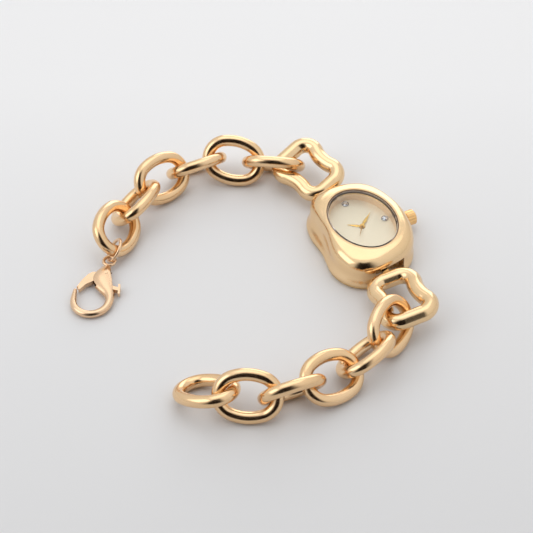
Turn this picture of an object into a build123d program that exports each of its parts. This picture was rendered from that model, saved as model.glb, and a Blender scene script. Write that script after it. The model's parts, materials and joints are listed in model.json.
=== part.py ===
from build123d import *
from math import atan2, acos, cos, degrees, hypot, radians, sin, sqrt
import os

# A lady's dress watch on a chain bracelet, laid on a table with its clasp open.
# Origin: middle of the case back. +X to three o'clock, +Y to twelve, +Z out of the dial.
os.makedirs("parts", exist_ok=True)

# Driving sizes of the bracelet
link_length = 16.0
link_width = 12.6
link_wire = 2.88
bow_radius = 4.5
link_play = 0.1

# Driving sizes of the end links, shaped like an hourglass
end_half_length = 6.99
end_near_half_width = 4.7
end_far_half_width = 5.35
end_side_radius = 9.2
end_wire = 3.9
end_corner = 3.0
eye_reach = 5.4
eye_radius = 1.18
eye_hole = 0.82
eye_width = 1.5
pin_radius = 0.5
pin_pivot = 0.32
pin_pivot_length = 0.8

# Driving sizes of the case
case_half_width = 11.4
case_height = 8.5
back_thickness = 0.95
flare_height = 1.9
waist_height = 3.7
ridge_height = 5.8
lip = 0.5
glass_half_width = 7.8
glass_half_length = 10.1
glass_thickness = 1.4
glass_bevel = 0.15
glass_seal = 0.3
ledge_thickness = 0.4
ledge_width = 0.25
cavity_half_width = 8.2
cavity_half_length = 10.15
seat_clearance = 0.03
back_rim = 0.7
back_rim_height = 0.9
back_seal = 0.35
hinge_offset = 12.1
hinge_height = 4.1
recess_half_width = 4.1
recess_end = 10.75
recess_height = 5.5
recess_corner = 0.8
overrun = 1.0

# Driving sizes of the dial and the hands
dial_top = 4.95
dial_thickness = 0.4
dial_hole = 0.8
ring_slope = 0.12
dial_foot_radius = 0.35
dial_foot_length = 0.5
stone_radius = 0.5
stone_height = 0.35
stone_girdle = 0.12
setting_wall = 0.16
setting_height = 0.3
twelve_place = 8.6
three_place = 6.2
hour_hand_length = 3.7
minute_hand_length = 5.1
second_hand_length = 4.2
second_tail = 1.4
hand_tail = 0.9
hand_width = 0.75
hand_thickness = 0.12
hand_gap = 0.16

# Driving sizes of the movement
movement_half_width = 6.4
movement_half_length = 7.6
movement_corner = 3.0
plate_thickness = 0.65
bridge_thickness = 0.35
train_height = 1.05
motion_height = 0.72
holder_clearance = 0.05
arbor_radius = 0.1
pipe_wall = 0.13
hour_pipe_wall = 0.16
pivot_clearance = 0.03
pivot_depth = 0.25
wheel_thickness = 0.15
pinion_length = 0.26
train_module = 0.07
step_module = 0.09
motion_module = 0.1
tooth_root_share = 0.62
tooth_tip_share = 0.3
cell_radius = 2.9
cell_height = 1.6
coil_radius = 0.75
coil_half_length = 4.2
coil_place = 6.0
core_half_length = 5.2
core_width = 0.8
core_thickness = 0.32
stator_thickness = 0.3
stator_radius = 1.35
stator_bore = 1.0
magnet_radius = 0.85
quartz_radius = 0.5
quartz_length = 4.6
board_width = 4.0
board_length = 5.2
board_thickness = 0.2
chip_width = 1.8
chip_thickness = 0.4
clamp_width = 1.3
clamp_thickness = 0.15
motion_radius = 3.2
pillar_radius = 0.6
screw_radius = 0.22
screw_length = 0.9
screw_head_radius = 0.45
screw_head = 0.3
screw_slot = 0.12
axial_play = 0.07

# Driving sizes of the crown and its stem
stem_height = 2.9
stem_radius = 0.4
stem_pilot = 0.18
groove_width = 0.4
groove_place = 4.9
stem_start = 3.6
stem_clearance = 0.05
lever_length = 1.1
lever_width = 1.6
lever_thickness = 0.22
crown_radius = 1.9
crown_length = 2.7
crown_gap = 0.7
crown_flutes = 16
crown_skirt = 0.5
tube_radius = 0.75
tube_bore = 0.45
crown_pull = 0.9

# Driving sizes of the jump ring and the clasp
ring_radius = 2.83
ring_wire = 0.8
clasp_length = 18.75
clasp_eye_radius = 1.76
clasp_eye_hole = 1.0
clasp_eye_thickness = 0.8
lever_pocket = 1.4
lever_play = 0.12
lever_spring = 0.14

# Poses of the links on the table: heading, pitch and roll in degrees
upper_poses = [
    (152.4, 4.2, 47.9),
    (144.7, 10.2, -51.2),
    (178.8, -2.0, 44.2),
    (194.6, 3.9, -55.9),
    (217.1, -1.6, 39.7),
    (224.1, 3.1, -44.4),
]
lower_poses = [
    (-145.0, -1.8, -52.7),
    (-161.2, -6.7, 39.6),
    (-173.0, 7.0, -33.9),
    (-183.1, 2.3, 59.8),
    (-209.9, 0.0, -53.9),
    (-233.6, -20.9, 15.7),
]
upper_end_pose = (106.9, 4.9, -16.4)
lower_end_pose = (-97.2, 5.4, 9.2)
# The ring's place in the last link's plane, as shares of the link's length, and its facing there
ring_place_shares = (0.3184, 0.1711, -0.0436)
ring_facing = (-0.314, 0.941, 0.132)
# The clasp's eye from the ring's centre, as shares of the ring's radius
clasp_place_shares = (-0.7155, -0.5707, -0.441)
clasp_pose = (228.7, -1.84, 0)

# Where each chain part lies


def laid_plane(centre, heading, pitch, roll):
    """A plane whose X runs along the part and whose Y runs across it."""
    h, p, r = radians(heading), radians(pitch), radians(roll)
    along = Vector(cos(h) * cos(p), sin(h) * cos(p), sin(p))
    level = Vector(-sin(h), cos(h), 0)
    up = along.cross(level)
    return Plane(origin=centre, x_dir=along, z_dir=up * cos(r) - level * sin(r))


def side_arc(half_length, half_width, bow):
    """An oval of four arcs: bow centre, side centre, side radius and half the bow's turn."""
    bow_centre = half_length - bow
    side_centre = (bow_centre**2 - (half_width - bow) ** 2) / (2 * (half_width - bow))
    half_turn = degrees(acos(bow_centre / hypot(bow_centre, side_centre)))
    return bow_centre, side_centre, half_width + side_centre, half_turn


link_reach = (link_length - link_wire) / 2
link_side = (link_width - link_wire) / 2
bow_centre, side_centre, side_radius, bow_turn = side_arc(link_reach, link_side, bow_radius)


def oval_drop(plane):
    """How far below its centre a link's wire centre line reaches."""
    along, across = abs(plane.x_dir.Z), abs(plane.y_dir.Z)
    slope = hypot(along, across)
    if along >= slope * cos(radians(bow_turn)):
        return bow_radius * slope + bow_centre * along
    return side_radius * slope - side_centre * across


def level_mean(first, second):
    """The level direction halfway between two directions."""
    return Vector(first.X + second.X, first.Y + second.Y, 0).normalized()


def chain_planes(end_plane, poses, slide, slack):
    """Planes of the links, each hooked round the bow before it and resting on the table."""
    bow = end_plane.origin + end_plane.x_dir * end_half_length + end_plane.y_dir * slide
    before, gap = end_plane.x_dir, (end_wire + link_wire) / 2 + link_play + slack
    planes = []
    for heading, pitch, roll in poses:
        turned = laid_plane((0, 0, 0), heading, pitch, roll)
        centre = bow - level_mean(before, turned.x_dir) * gap + turned.x_dir * link_reach
        centre = Vector(centre.X, centre.Y, link_wire / 2 + oval_drop(turned))
        planes.append(laid_plane(centre, heading, pitch, roll))
        bow = centre + turned.x_dir * link_reach
        before, gap = turned.x_dir, link_wire + link_play
    return planes


def end_link_plane(side, slide, pose):
    """The plane of an end link whose eye hangs on the spring bar at this end of the case."""
    eye = Vector(slide, side * hinge_offset, hinge_height)
    turned = laid_plane((0, 0, 0), *pose)
    return laid_plane(eye + turned.x_dir * (eye_reach + end_half_length), *pose)


upper_eye_slide = 1.47
lower_eye_slide = -1.31
upper_bow_slide = 1.85
lower_bow_slide = -2.52
upper_bow_slack = 0.63
lower_bow_slack = 1.03
upper_end = end_link_plane(1, upper_eye_slide, upper_end_pose)
lower_end = end_link_plane(-1, lower_eye_slide, lower_end_pose)
upper_links = chain_planes(upper_end, upper_poses, upper_bow_slide, upper_bow_slack)
lower_links = chain_planes(lower_end, lower_poses, lower_bow_slide, lower_bow_slack)


# Bent wire, one arc at a time


def wire_arc(plane, centre, radius, start, turn, wire):
    """A stretch of round wire along an arc that lies in the plane."""
    middle = plane.from_local_coords((centre[0], centre[1], 0))
    a = radians(start)
    out = plane.from_local_coords((cos(a), sin(a), 0)) - plane.origin
    ahead = Plane(origin=middle + out * radius, x_dir=out, z_dir=plane.z_dir.cross(out))
    with BuildSketch(ahead) as section:
        Circle(wire / 2)
    revolve(section.sketch, axis=Axis(middle, plane.z_dir), revolution_arc=turn)


def wire_run(plane, start, end, wire):
    """A straight stretch of round wire between two points of the plane."""
    first, last = plane.from_local_coords((*start, 0)), plane.from_local_coords((*end, 0))
    with BuildSketch(Plane(origin=first, z_dir=last - first)) as section:
        Circle(wire / 2)
    extrude(section.sketch, amount=(last - first).length)


# Cable links: ovals of round wire, the ends closed and polished


def cable_link(name, plane):
    """One oval link, a solid ring of four arcs."""
    with BuildPart() as link:
        for sign in (1, -1):
            turned = 90 - 90 * sign
            wire_arc(plane, (sign * bow_centre, 0), bow_radius, turned - bow_turn, 2 * bow_turn, link_wire)
            wire_arc(
                plane, (0, -sign * side_centre), side_radius, turned + bow_turn, 180 - 2 * bow_turn, link_wire
            )
    link.part.label = name
    export_step(link.part, f"parts/{name}.step")
    return link.part


for arm, planes in (("upper", upper_links), ("lower", lower_links)):
    for place, plane in enumerate(planes, 1):
        cable_link(f"{arm}_link_{place}", plane)


# End links: hourglass rings with an eye behind the near bar for the spring bar

corner_along = end_half_length - end_corner
near_across = end_near_half_width - end_corner
far_across = end_far_half_width - end_corner
splay = Vector(2 * corner_along, far_across - near_across)
side_reach = sqrt((end_side_radius + end_corner) ** 2 - (splay.length / 2) ** 2)
side_middle = Vector(0, (near_across + far_across) / 2) + splay.normalized().rotate(Axis.Z, 90) * side_reach


def bearing(start, end):
    """The direction from one point to another, in degrees."""
    return degrees(atan2(end.Y - start.Y, end.X - start.X))


near_corner, far_corner = Vector(-corner_along, near_across), Vector(corner_along, far_across)
# Centre, radius, start and turn of the far corner, the side and the near corner
end_arcs = [
    (far_corner, end_corner, 0, bearing(far_corner, side_middle)),
    (
        side_middle,
        end_side_radius,
        bearing(side_middle, near_corner),
        bearing(side_middle, far_corner) - bearing(side_middle, near_corner),
    ),
    (near_corner, end_corner, bearing(near_corner, side_middle), 180 - bearing(near_corner, side_middle)),
]


def end_link(name, plane):
    """One end link: two bars, four round corners, two drawn-in sides and the eye."""
    with BuildPart() as link:
        for x, half in ((-end_half_length, near_across), (end_half_length, far_across)):
            wire_run(plane, (x, -half), (x, half), end_wire)
        for centre, radius, start, turn in end_arcs:
            wire_arc(plane, (centre.X, centre.Y), radius, start, turn, end_wire)
            wire_arc(plane, (centre.X, -centre.Y), radius, -start - turn, turn, end_wire)
        side = Plane(
            origin=plane.from_local_coords((-end_half_length, 0, 0)), x_dir=plane.x_dir, z_dir=-plane.y_dir
        )
        with BuildSketch(side):
            with Locations((-eye_reach, 0)):
                Circle(eye_radius)
            with Locations((-eye_reach / 2, 0)):
                Rectangle(eye_reach, 2 * eye_hole)
        extrude(amount=eye_width / 2, both=True)
        with BuildSketch(side):
            with Locations((-eye_reach, 0)):
                Circle(eye_hole)
        extrude(amount=eye_width, both=True, mode=Mode.SUBTRACT)
    link.part.label = name
    export_step(link.part, f"parts/{name}.step")
    return link.part


end_link("upper_end_link", upper_end)
end_link("lower_end_link", lower_end)


# Case: one casting, a waisted cushion that swells into a rounded bezel.
# Each outline is a share of the case's half width at every thirty degrees from three o'clock.
base_shares = [0.92, 1.02, 1.22, 1.25, 1.31, 1.09, 0.94, 1.18, 1.4, 1.31, 1.24, 1.04]
waist_shares = [0.94, 1.02, 1.19, 1.19, 1.26, 1.0, 0.86, 1.11, 1.35, 1.25, 1.21, 1.04]
ridge_shares = [0.98, 1.04, 1.22, 1.25, 1.28, 0.94, 0.86, 1.1, 1.35, 1.26, 1.2, 1.05]
back_share = 0.985
dome_turns = [35, 62, 90]


def polar_outline(height, radii):
    """A closed smooth outline through evenly spaced points about the middle."""
    step = 360 / len(radii)
    with BuildSketch(Plane.XY.offset(height)) as outline:
        with BuildLine():
            points = [
                (r * cos(radians(i * step)), r * sin(radians(i * step))) for i, r in enumerate(radii)
            ]
            Spline(*points, periodic=True)
        make_face()
    return outline.sketch


def rim_radii():
    """Half the rim's width in each direction, an ellipse just outside the glass."""
    wide, long = glass_half_width + glass_seal + lip, glass_half_length + glass_seal + lip
    count = len(ridge_shares)
    angles = [radians(i * 360 / count) for i in range(count)]
    return [wide * long / hypot(long * cos(a), wide * sin(a)) for a in angles]


def case_outlines():
    """The case's outlines from the back's seam up over the ridge to the rim."""
    base = [s * case_half_width for s in base_shares]
    waist = [s * case_half_width for s in waist_shares]
    ridge = [s * case_half_width for s in ridge_shares]
    rim = rim_radii()
    outlines = [(back_thickness, [back_share * r for r in base]), (flare_height, base)]
    outlines += [(waist_height, waist), (ridge_height, ridge)]
    for turn in dome_turns:
        rise = (case_height - ridge_height) * sin(radians(turn))
        outlines.append(
            (ridge_height + rise, [m + (r - m) * cos(radians(turn)) for r, m in zip(ridge, rim)])
        )
    return outlines


def oval_cut(half_width, half_length, bottom, top):
    """Cuts an upright oval hole through whatever is being built."""
    with BuildSketch(Plane.XY.offset(bottom)) as hole:
        Ellipse(half_width, half_length)
    extrude(hole.sketch, amount=top - bottom, mode=Mode.SUBTRACT)


def end_recess(side, bottom, top):
    """Cuts the recess that takes an end link's eye, open to the end and the back."""
    depth = case_half_width * 2 - recess_end
    with BuildSketch(Plane.XY.offset(bottom)) as recess:
        with Locations((0, side * (recess_end + depth / 2))):
            RectangleRounded(2 * recess_half_width, depth, recess_corner)
    extrude(recess.sketch, amount=top - bottom, mode=Mode.SUBTRACT)


def pin_hole(side, radius):
    """Cuts the two blind holes for a spring bar's pivots."""
    reach = recess_half_width + pin_pivot_length + pivot_clearance
    with BuildSketch(Plane(origin=(-reach, side * hinge_offset, hinge_height), z_dir=(1, 0, 0))) as hole:
        Circle(radius)
    extrude(hole.sketch, amount=2 * reach, mode=Mode.SUBTRACT)


ledge_top = case_height - glass_thickness
ledge_bottom = ledge_top - ledge_thickness
seal_bottom = back_thickness
seal_top = back_thickness + back_seal

with BuildPart() as case:
    loft([polar_outline(height, radii) for height, radii in case_outlines()])
    oval_cut(
        glass_half_width + glass_seal, glass_half_length + glass_seal, ledge_top, case_height + overrun
    )
    oval_cut(
        glass_half_width - ledge_width, glass_half_length - ledge_width, ledge_bottom, case_height
    )
    oval_cut(cavity_half_width, cavity_half_length, 0, ledge_bottom)
    oval_cut(cavity_half_width + back_seal, cavity_half_length + back_seal, 0, seal_top)
    for side in (1, -1):
        end_recess(side, 0, recess_height)
        pin_hole(side, pin_pivot + pivot_clearance)
    with BuildSketch(Plane(origin=(0, 0, stem_height), z_dir=(1, 0, 0))):
        Circle(tube_radius)
    extrude(amount=case_half_width + overrun, mode=Mode.SUBTRACT)
case.part.label = "case"
export_step(case.part, "parts/case.step")

# Case back: a pressed cover that snaps into the case, with its rim inside
with BuildPart() as case_back:
    base = [s * case_half_width for s in base_shares]
    loft(
        [
            polar_outline(0, [r * back_share - seat_clearance - lip for r in base]),
            polar_outline(back_thickness / 2, [r * back_share - seat_clearance for r in base]),
            polar_outline(back_thickness - seat_clearance, [r * back_share - seat_clearance for r in base]),
        ]
    )
    with BuildSketch(Plane.XY.offset(back_thickness - seat_clearance)):
        Ellipse(cavity_half_width - seat_clearance, cavity_half_length - seat_clearance)
        Ellipse(
            cavity_half_width - seat_clearance - back_rim,
            cavity_half_length - seat_clearance - back_rim,
            mode=Mode.SUBTRACT,
        )
    extrude(amount=back_rim_height + seat_clearance)
    for side in (1, -1):
        end_recess(side, -overrun, recess_height)
case_back.part.label = "case_back"
export_step(case_back.part, "parts/case_back.step")


def oval_ring(wide, long, inner_wide, inner_long, bottom, height):
    """An upright oval ring with straight walls."""
    with BuildSketch(Plane.XY.offset(bottom)) as ring:
        Ellipse(wide, long)
        Ellipse(inner_wide, inner_long, mode=Mode.SUBTRACT)
    extrude(ring.sketch, amount=height)


# Back seal: a soft ring squeezed between the case and its back
with BuildPart() as back_seal_ring:
    oval_ring(
        cavity_half_width + back_seal - seat_clearance,
        cavity_half_length + back_seal - seat_clearance,
        cavity_half_width + seat_clearance,
        cavity_half_length + seat_clearance,
        seal_bottom,
        back_seal - seat_clearance,
    )
back_seal_ring.part.label = "back_seal"
export_step(back_seal_ring.part, "parts/back_seal.step")

# Glass: a flat mineral crystal pressed in on a thin plastic ring
with BuildPart() as glass:
    with BuildSketch(Plane.XY.offset(ledge_top)):
        Ellipse(glass_half_width, glass_half_length)
    extrude(amount=glass_thickness)
    chamfer(glass.edges().group_by(Axis.Z)[-1], glass_bevel)
glass.part.label = "glass"
export_step(glass.part, "parts/glass.step")

with BuildPart() as glass_ring:
    oval_ring(
        glass_half_width + glass_seal - seat_clearance,
        glass_half_length + glass_seal - seat_clearance,
        glass_half_width,
        glass_half_length,
        ledge_top,
        glass_thickness - glass_bevel,
    )
glass_ring.part.label = "glass_seal"
export_step(glass_ring.part, "parts/glass_seal.step")

# Dial ring: the sloping wall between the glass and the dial
with BuildPart() as dial_ring:
    with BuildSketch(Plane.XY.offset(dial_top)):
        Ellipse(cavity_half_width - seat_clearance, cavity_half_length - seat_clearance)
    extrude(amount=ledge_bottom - dial_top)
    with BuildSketch(Plane.XY.offset(dial_top)) as foot:
        Ellipse(glass_half_width - ledge_width - ring_slope, glass_half_length - ledge_width - ring_slope)
    with BuildSketch(Plane.XY.offset(ledge_bottom)) as mouth:
        Ellipse(glass_half_width - ledge_width, glass_half_length - ledge_width)
    loft([foot.sketch, mouth.sketch], mode=Mode.SUBTRACT)
dial_ring.part.label = "dial_ring"
export_step(dial_ring.part, "parts/dial_ring.step")

# Levels of the movement, from the dial down to the back
dial_bottom = dial_top - dial_thickness
motion_floor = dial_bottom - motion_height
plate_floor = motion_floor - plate_thickness
bridge_top = plate_floor - train_height
bridge_floor = bridge_top - bridge_thickness
train_levels = [bridge_top + axial_play + step * (wheel_thickness + axial_play) for step in range(3)]
cell_bottom = plate_floor - seat_clearance - cell_height
clamp_bottom = cell_bottom - clamp_thickness
core_bottom = train_levels[2] - core_thickness
board_bottom = plate_floor - board_thickness
cannon_level = motion_floor + axial_play / 2
hour_level = cannon_level + pinion_length + axial_play

# Places of the wheels, each at its teeth's reach from the wheel that drives it
centre_place = (0, 0)


def reached(place, module, teeth, angle):
    """The place one tooth reach away from another, at an angle."""
    reach = module * sum(teeth) / 2
    return place[0] + reach * cos(radians(angle)), place[1] + reach * sin(radians(angle))


third_place = reached(centre_place, train_module, (48, 6), 170)
step_place = reached(centre_place, step_module, (36, 6), 20)
rotor_place = reached(step_place, step_module, (30, 6), 70)
minute_place = reached(centre_place, motion_module, (24, 8), -120)
second_module = train_module * (48 + 6) / (45 + 6)
hour_module = motion_module * (24 + 8) / (32 + 8)

# Places of the feet and the screws
foot_x = movement_half_width - 2 * dial_foot_radius - movement_corner / 3
foot_y = movement_half_length - movement_corner
foot_places = [(-foot_x, foot_y), (foot_x, -foot_y)]
board_place = (movement_half_width - board_width / 2 - cell_height / 2, -movement_half_length / 2)
cell_place = (-cell_radius * 9 / 10, cell_radius + 3 * holder_clearance - movement_half_length)
clamp_place = (cell_place[0] + cell_radius + pillar_radius, cell_place[1])
bridge_places = [
    (third_place[0] - cell_radius, cell_height),
    (third_place[0] - pillar_radius, cell_radius),
    (movement_half_width - 2 * pillar_radius, cell_radius),
]
core_places = [(sign * (coil_half_length + pillar_radius), coil_place) for sign in (-1, 1)]
board_screw = (board_place[0] - board_width / 3, board_place[1] - board_length / 3)
screw_places = [(place, bridge_floor) for place in bridge_places]
screw_places += [(clamp_place, clamp_bottom), (board_screw, board_bottom)]
screw_places += [(place, core_bottom) for place in core_places]


def round_post(place, radius, bottom, top, mode=Mode.ADD):
    """An upright round post, or a hole, between two heights."""
    with BuildSketch(Plane((*place, bottom))) as section:
        Circle(radius)
    extrude(section.sketch, amount=top - bottom, mode=mode)


def screw_holes(bottom, top, radius):
    """Holes through a plate for each screw that reaches it."""
    for place, seat in screw_places:
        round_post(place, radius, max(bottom, seat), min(top, seat + screw_length), Mode.SUBTRACT)


# Dial: a brass blank on two feet, with a glass stone in a setting at twelve and at three
stone_places = [(0, twelve_place), (three_place, 0)]

with BuildPart() as dial:
    with BuildSketch(Plane.XY.offset(dial_bottom)):
        Ellipse(cavity_half_width - seat_clearance, cavity_half_length - seat_clearance)
        Circle(dial_hole, mode=Mode.SUBTRACT)
    extrude(amount=dial_thickness)
    with BuildSketch(Plane.XY.offset(dial_bottom)):
        with Locations(*foot_places):
            Circle(dial_foot_radius)
    extrude(amount=-dial_foot_length)
dial.part.label = "dial"
export_step(dial.part, "parts/dial.step")

with BuildPart() as stones:
    for place in stone_places:
        with BuildSketch(Plane((*place, dial_top + stone_girdle))) as girdle:
            RegularPolygon(stone_radius, 8)
        with BuildSketch(Plane((*place, dial_top + stone_height))) as table:
            RegularPolygon(stone_radius / 2, 8)
        extrude(girdle.sketch, amount=-stone_girdle)
        loft([girdle.sketch, table.sketch])
stones.part.label = "dial_stones"
export_step(stones.part, "parts/dial_stones.step")

with BuildPart() as settings:
    with BuildSketch(Plane.XY.offset(dial_top)):
        with Locations(*stone_places):
            Circle(stone_radius + setting_wall)
            Circle(stone_radius + seat_clearance, mode=Mode.SUBTRACT)
    extrude(amount=setting_height - stone_girdle)
settings.part.label = "stone_settings"
export_step(settings.part, "parts/stone_settings.step")


# Hands: a boss on its pipe and a tapered blade with a short tail
pipe_radius = arbor_radius + pivot_clearance + pipe_wall
hour_bore = pipe_radius + pivot_clearance
hour_pipe = hour_bore + hour_pipe_wall
hand_levels = [dial_top + hand_gap / 2 + step * (hand_thickness + hand_gap) for step in range(3)]
# Length, width, tail, boss, pipe and angle from twelve of the hour, minute and second hands
hands = {
    "hour_hand": (hour_hand_length, hand_width, hand_tail, hour_pipe, 304.3),
    "minute_hand": (minute_hand_length, hand_width, hand_tail, pipe_radius, 51.6),
    "second_hand": (second_hand_length, hand_width / 3, second_tail, arbor_radius, 216),
}

for level, (name, (length, width, tail, pipe, angle)) in zip(hand_levels, hands.items()):
    dial_plane = Plane(origin=(0, 0, level), x_dir=(sin(radians(angle)), cos(radians(angle)), 0))
    with BuildPart() as hand:
        with BuildSketch(dial_plane):
            Polygon((length, 0), (length / 3, width / 2), (-tail, 0), (length / 3, -width / 2), align=None)
            Circle(pipe + 2 * pipe_wall)
            Circle(pipe, mode=Mode.SUBTRACT)
        extrude(amount=hand_thickness)
    hand.part.label = name
    export_step(hand.part, f"parts/{name}.step")


# Movement: main plate with its posts, train bridge, wheels, motor, cell and circuit


def rounded_block(half_width, half_length, corner, bottom, top, mode=Mode.ADD):
    """An upright block with rounded corners."""
    with BuildSketch(Plane.XY.offset(bottom)) as section:
        RectangleRounded(2 * half_width, 2 * half_length, corner)
    extrude(section.sketch, amount=top - bottom, mode=mode)


with BuildPart() as main_plate:
    rounded_block(movement_half_width, movement_half_length, movement_corner, plate_floor, dial_bottom)
    round_post(centre_place, motion_radius, motion_floor, dial_bottom, Mode.SUBTRACT)
    for place in bridge_places:
        round_post(place, pillar_radius, bridge_top, plate_floor)
    round_post(clamp_place, pillar_radius, cell_bottom, plate_floor)
    for place in core_places:
        round_post(place, screw_head_radius, train_levels[2] + stator_thickness, plate_floor)
    for place in foot_places:
        round_post(
            place,
            dial_foot_radius + seat_clearance,
            dial_bottom - dial_foot_length - seat_clearance,
            dial_bottom,
            Mode.SUBTRACT,
        )
    round_post(centre_place, hour_bore, plate_floor, motion_floor, Mode.SUBTRACT)
    for place in (third_place, step_place, rotor_place):
        hole = plate_floor + pivot_depth + seat_clearance
        round_post(place, arbor_radius + pivot_clearance, plate_floor, hole, Mode.SUBTRACT)
    round_post(minute_place, arbor_radius, motion_floor, hour_level + wheel_thickness)
    screw_holes(clamp_bottom, dial_bottom, screw_radius)
    with BuildSketch(Plane(origin=(stem_start - stem_clearance, 0, stem_height), z_dir=(1, 0, 0))):
        Circle(stem_radius + stem_clearance)
    extrude(amount=movement_half_width, mode=Mode.SUBTRACT)
    with BuildSketch(Plane.XY.offset(plate_floor)):
        with Locations((0, coil_place)):
            Rectangle(2 * coil_half_length + coil_radius / 3, 2 * coil_radius + coil_radius / 3)
    extrude(amount=coil_radius / 3, mode=Mode.SUBTRACT)
main_plate.part.label = "main_plate"
export_step(main_plate.part, "parts/main_plate.step")

with BuildPart() as train_bridge:
    left, right = bridge_places[0][0] - pillar_radius, bridge_places[2][0] + pillar_radius
    low, high = -pillar_radius, bridge_places[1][1] + pillar_radius
    with BuildSketch(Plane.XY.offset(bridge_floor)):
        with Locations(((left + right) / 2, (low + high) / 2)):
            RectangleRounded(right - left, high - low, pillar_radius)
    extrude(amount=bridge_thickness)
    for place in (centre_place, third_place, step_place, rotor_place):
        round_post(place, arbor_radius + pivot_clearance, bridge_floor, bridge_top, Mode.SUBTRACT)
    screw_holes(bridge_floor, bridge_top, screw_radius + seat_clearance)
train_bridge.part.label = "train_bridge"
export_step(train_bridge.part, "parts/train_bridge.step")


def gear(place, teeth, module, bottom, top, partner, gap=False):
    """A toothed disc that turns a tooth, or a gap between two, towards its partner's place."""
    towards = degrees(atan2(partner[1] - place[1], partner[0] - place[0]))
    start = towards + (180 / teeth if gap else 0)
    half = 180 / teeth
    root, tip = module * (teeth - 2.5) / 2, module * (teeth + 2) / 2
    edge = []
    for tooth in range(teeth):
        middle = start + 2 * half * tooth
        for radius, share in (
            (root, -tooth_root_share),
            (tip, -tooth_tip_share),
            (tip, tooth_tip_share),
            (root, tooth_root_share),
        ):
            a = radians(middle + half * share)
            edge.append((radius * cos(a), radius * sin(a)))
    with BuildSketch(Plane((*place, bottom))) as section:
        Polygon(*edge, align=None)
    extrude(section.sketch, amount=top - bottom)


arbor_bottom, arbor_top = bridge_top - pivot_depth, plate_floor + pivot_depth
second_level, third_level, centre_level = train_levels

with BuildPart() as centre_wheel:
    pipe_top = hand_levels[1] + hand_thickness
    gear(centre_place, 48, train_module, centre_level, centre_level + wheel_thickness, third_place)
    gear(centre_place, 8, motion_module, cannon_level, cannon_level + pinion_length, minute_place)
    round_post(centre_place, pipe_radius, centre_level, pipe_top)
    round_post(centre_place, arbor_radius + pivot_clearance, centre_level, pipe_top, Mode.SUBTRACT)
centre_wheel.part.label = "centre_wheel"
export_step(centre_wheel.part, "parts/centre_wheel.step")

with BuildPart() as seconds_wheel:
    pinion_bottom = second_level + wheel_thickness
    gear(centre_place, 36, step_module, second_level, pinion_bottom, step_place)
    gear(centre_place, 6, second_module, pinion_bottom, pinion_bottom + pinion_length, third_place)
    round_post(centre_place, arbor_radius, arbor_bottom, hand_levels[2] + hand_thickness)
seconds_wheel.part.label = "seconds_wheel"
export_step(seconds_wheel.part, "parts/seconds_wheel.step")

with BuildPart() as third_wheel:
    pinion_bottom = third_level + wheel_thickness
    gear(third_place, 45, second_module, third_level, pinion_bottom, centre_place, gap=True)
    gear(third_place, 6, train_module, pinion_bottom, pinion_bottom + pinion_length, centre_place, gap=True)
    round_post(third_place, arbor_radius, arbor_bottom, arbor_top)
third_wheel.part.label = "third_wheel"
export_step(third_wheel.part, "parts/third_wheel.step")

with BuildPart() as step_wheel:
    gear(step_place, 30, step_module, third_level, third_level + wheel_thickness, rotor_place)
    gear(step_place, 6, step_module, third_level - pinion_length, third_level, centre_place, gap=True)
    round_post(step_place, arbor_radius, arbor_bottom, arbor_top)
step_wheel.part.label = "step_wheel"
export_step(step_wheel.part, "parts/step_wheel.step")

with BuildPart() as rotor:
    gear(rotor_place, 6, step_module, centre_level - pinion_length, centre_level, step_place, gap=True)
    round_post(rotor_place, arbor_radius, arbor_bottom, arbor_top)
rotor.part.label = "rotor_pinion"
export_step(rotor.part, "parts/rotor_pinion.step")

with BuildPart() as rotor_magnet:
    round_post(rotor_place, magnet_radius, centre_level, centre_level + stator_thickness)
    round_post(
        rotor_place, arbor_radius, centre_level, centre_level + stator_thickness, Mode.SUBTRACT
    )
rotor_magnet.part.label = "rotor_magnet"
export_step(rotor_magnet.part, "parts/rotor_magnet.step")

with BuildPart() as minute_wheel:
    wheel_bottom = cannon_level + (pinion_length - wheel_thickness) / 2
    wheel_top = wheel_bottom + wheel_thickness
    gear(minute_place, 24, motion_module, wheel_bottom, wheel_top, centre_place, gap=True)
    gear(minute_place, 8, hour_module, wheel_top, hour_level + wheel_thickness, centre_place, gap=True)
    round_post(
        minute_place,
        arbor_radius + pivot_clearance,
        wheel_bottom,
        hour_level + wheel_thickness,
        Mode.SUBTRACT,
    )
minute_wheel.part.label = "minute_wheel"
export_step(minute_wheel.part, "parts/minute_wheel.step")

with BuildPart() as hour_wheel:
    pipe_top = hand_levels[0] + hand_thickness
    gear(centre_place, 32, hour_module, hour_level, hour_level + wheel_thickness, minute_place)
    round_post(centre_place, hour_pipe, hour_level, pipe_top)
    round_post(centre_place, hour_bore, hour_level, pipe_top, Mode.SUBTRACT)
hour_wheel.part.label = "hour_wheel"
export_step(hour_wheel.part, "parts/hour_wheel.step")

# Motor: a coil on an iron core whose ends carry the stator plate round the rotor
with BuildPart() as core:
    with BuildSketch(Plane.XY.offset(core_bottom)):
        with Locations((0, coil_place)):
            Rectangle(2 * core_half_length, core_width)
    extrude(amount=core_thickness)
    screw_holes(core_bottom, train_levels[2], screw_radius + seat_clearance)
core.part.label = "motor_core"
export_step(core.part, "parts/motor_core.step")

with BuildPart() as coil:
    coil_plane = Plane(
        origin=(-coil_half_length, coil_place, core_bottom + core_thickness / 2), z_dir=(1, 0, 0)
    )
    with BuildSketch(coil_plane):
        Circle(coil_radius)
        Rectangle(core_thickness, core_width, mode=Mode.SUBTRACT)
    extrude(amount=2 * coil_half_length)
coil.part.label = "motor_coil"
export_step(coil.part, "parts/motor_coil.step")

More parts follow.
